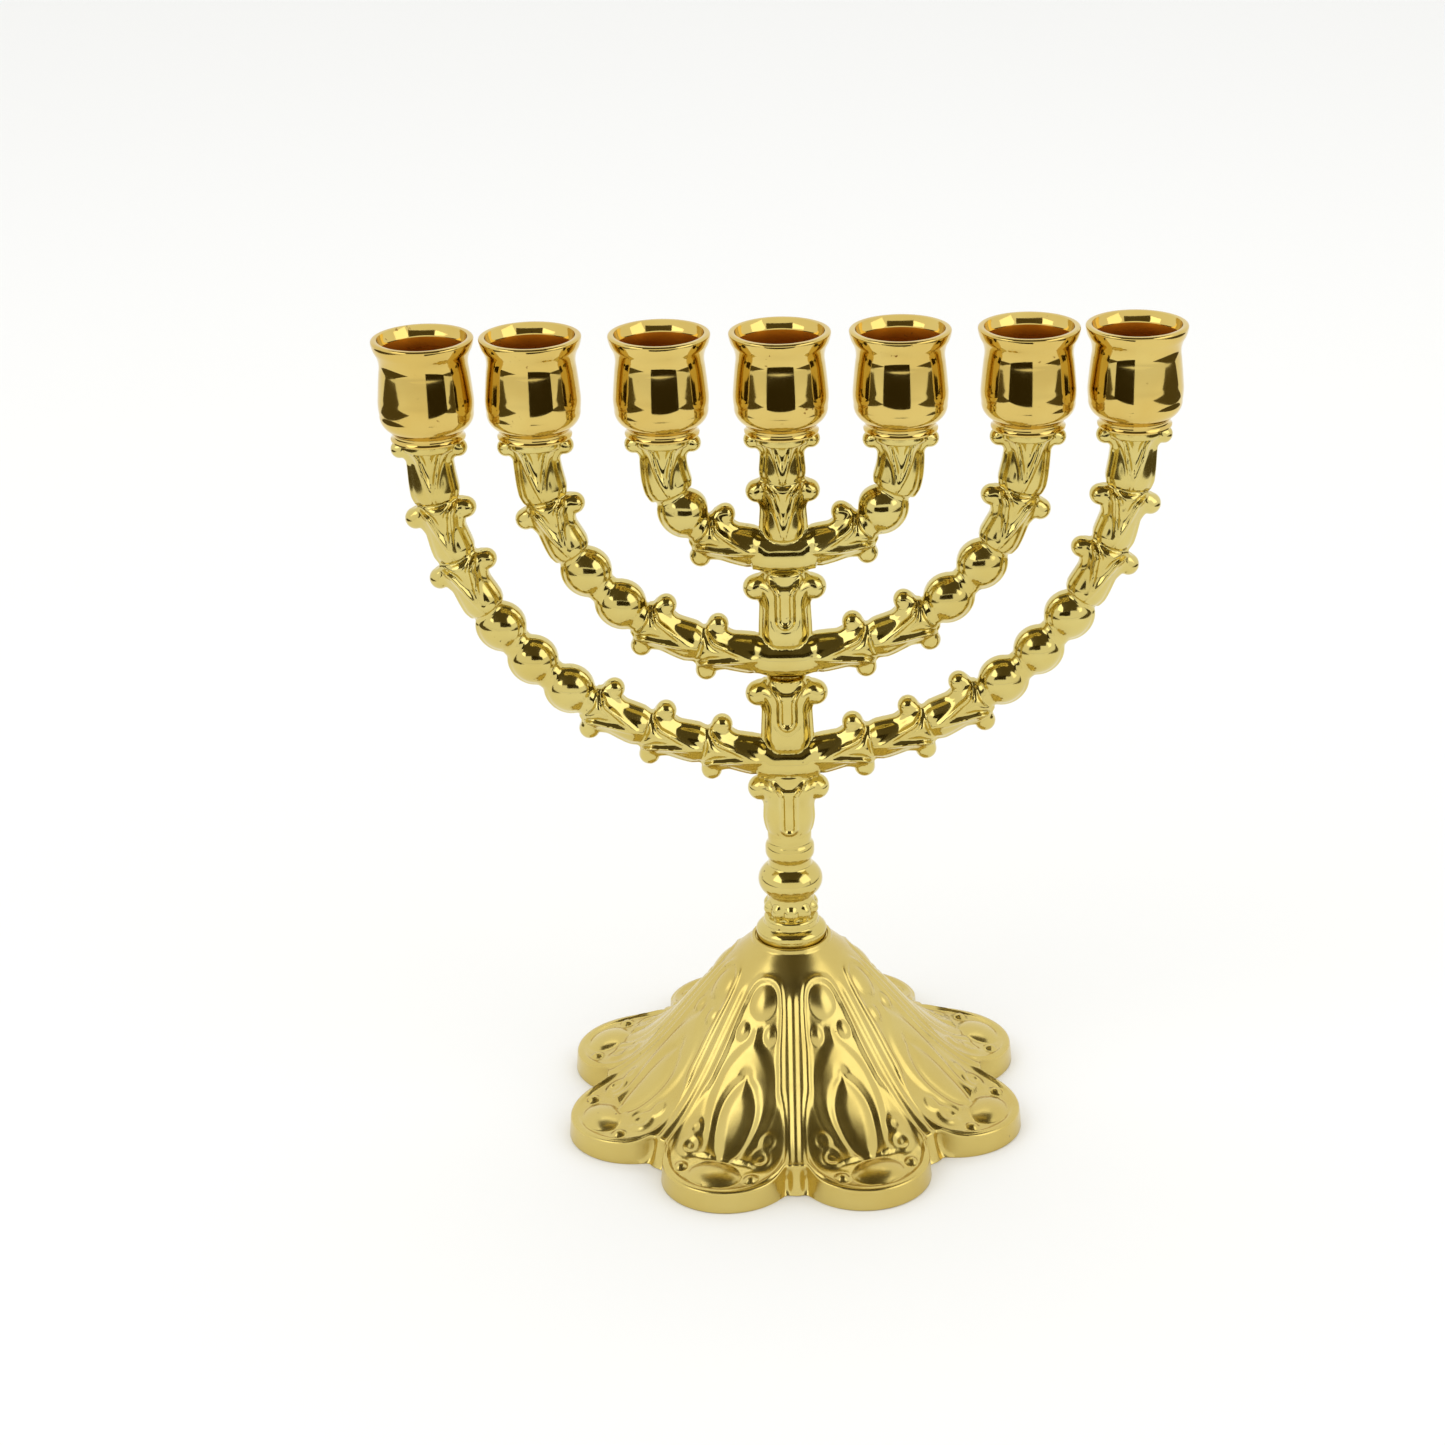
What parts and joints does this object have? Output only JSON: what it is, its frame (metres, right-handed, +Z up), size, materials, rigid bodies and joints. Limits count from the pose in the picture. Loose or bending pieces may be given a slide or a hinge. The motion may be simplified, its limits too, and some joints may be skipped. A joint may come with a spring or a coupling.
{
  "type": "candle holder",
  "caption": "Branched candle holder with turned cups on curved, beaded arms, one cast stem and a petalled bell-shaped base.",
  "frame": {"origin": "centre of the base's underside, on the surface that it stands on", "axes": "+Z up, the branches spread along X, the front faces -Y"},
  "size_m": [0.1588, 0.0952, 0.17],
  "materials": {
    "base_gold": "satin pale gold plate over a zinc casting",
    "frame_gold": "polished pale gold plate over a zinc casting, lightly tarnished",
    "cup_gold": "bright polished rich gold plate",
    "screw_steel": "zinc-plated steel"
  },
  "bodies": {
    "base": {"base": "base_gold", "flat_washer": "screw_steel", "spring_washer": "screw_steel"},
    "frame": {"branch_frame": "frame_gold", "clamp_screw": "screw_steel", "cup_screw_1": "screw_steel", "cup_screw_2": "screw_steel", "cup_screw_3": "screw_steel", "cup_screw_4": "screw_steel", "cup_screw_5": "screw_steel", "cup_screw_6": "screw_steel", "cup_screw_7": "screw_steel"},
    "cup_1": {"cup_1": "cup_gold"},
    "cup_2": {"cup_2": "cup_gold"},
    "cup_3": {"cup_3": "cup_gold"},
    "cup_4": {"cup_4": "cup_gold"},
    "cup_5": {"cup_5": "cup_gold"},
    "cup_6": {"cup_6": "cup_gold"},
    "cup_7": {"cup_7": "cup_gold"}
  },
  "joints": [
    {"name": "frame_turn", "type": "hinge", "parent": "base", "child": "frame", "pos_m": [0, 0, 0.0384], "axis": [0, 0, 1], "continuous": true},
    {"name": "cup_turn_1", "type": "hinge", "parent": "frame", "child": "cup_1", "pos_m": [-0.0693, 0, 0.1495], "axis": [0, 0, 1], "continuous": true},
    {"name": "cup_turn_2", "type": "hinge", "parent": "frame", "child": "cup_2", "pos_m": [-0.0484, 0, 0.1495], "axis": [0, 0, 1], "continuous": true},
    {"name": "cup_turn_3", "type": "hinge", "parent": "frame", "child": "cup_3", "pos_m": [-0.0234, 0, 0.1495], "axis": [0, 0, 1], "continuous": true},
    {"name": "cup_turn_4", "type": "hinge", "parent": "frame", "child": "cup_4", "pos_m": [0, 0, 0.1495], "axis": [0, 0, 1], "continuous": true},
    {"name": "cup_turn_5", "type": "hinge", "parent": "frame", "child": "cup_5", "pos_m": [0.0234, 0, 0.1495], "axis": [0, 0, 1], "continuous": true},
    {"name": "cup_turn_6", "type": "hinge", "parent": "frame", "child": "cup_6", "pos_m": [0.0484, 0, 0.1495], "axis": [0, 0, 1], "continuous": true},
    {"name": "cup_turn_7", "type": "hinge", "parent": "frame", "child": "cup_7", "pos_m": [0.0693, 0, 0.1495], "axis": [0, 0, 1], "continuous": true}
  ]
}
